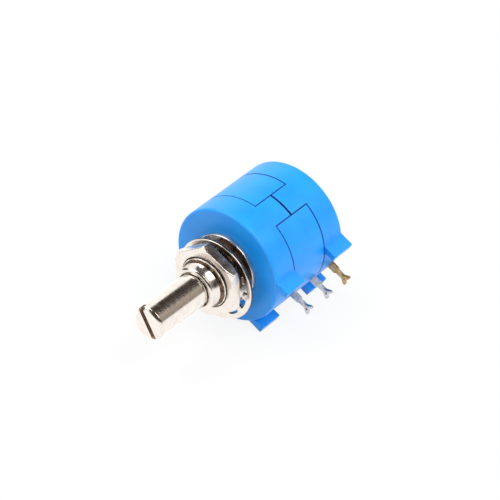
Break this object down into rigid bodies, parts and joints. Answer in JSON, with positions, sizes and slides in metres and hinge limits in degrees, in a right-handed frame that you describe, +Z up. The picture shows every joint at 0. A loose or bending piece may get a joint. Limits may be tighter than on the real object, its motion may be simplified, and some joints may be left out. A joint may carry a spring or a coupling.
{
  "type": "multiturn potentiometer",
  "caption": "Panel potentiometer with a round blue housing, slotted shaft, threaded bushing with nut and lock washer, solder lugs, and a wiper led along a coiled winding inside.",
  "frame": {"origin": "on the shaft's axis, in the face of the bushing's shoulder that seats on the panel", "axes": "-Y along the shaft towards its tip; +Z up as the part lies on its side; the lugs point to +X and a little down"},
  "size_m": [0.0253, 0.0403, 0.0222],
  "materials": {
    "housing_plastic": "moulded, satin",
    "nickel_plate": "bright nickel plate on brass",
    "plated_steel": "nickel-plated steel",
    "tinned_brass": "tinned",
    "winding": "fine resistance wire wound on an enamelled copper mandrel",
    "rotor_plastic": "moulded",
    "contact_bronze": "rolled spring bronze",
    "carriage_plastic": "moulded"
  },
  "bodies": {
    "housing": {"front_cap": "housing_plastic", "centre_ring": "housing_plastic", "rear_cap": "housing_plastic", "bushing": "nickel_plate", "hex_nut": "nickel_plate", "lock_washer": "plated_steel", "terminal_1": "tinned_brass", "terminal_2": "tinned_brass", "terminal_3": "tinned_brass", "lead_1": "tinned_brass", "lead_3": "tinned_brass", "resistance_element": "winding", "collector_brush": "contact_bronze", "thrust_washer": "contact_bronze"},
    "rotor": {"shaft": "nickel_plate", "rotor": "rotor_plastic", "contact_rail": "contact_bronze", "collector_ring": "contact_bronze", "retaining_clip": "plated_steel"},
    "carriage": {"wiper_carriage": "carriage_plastic", "wiper_contact": "contact_bronze"}
  },
  "joints": [
    {"name": "shaft_turn", "type": "hinge", "parent": "housing", "child": "rotor", "pos_m": [0, 0, 0], "axis": [0, -1, 0], "range_deg": [-1800, 1800]},
    {"name": "carriage_slide", "type": "slide", "parent": "rotor", "child": "carriage", "axis": [0, -1, 0], "range_m": [-0.0054, 0.0054]}
  ],
  "couplings": [
    {"joint": "carriage_slide", "follows": "shaft_turn", "m_per_rad": 0.00017093}
  ]
}
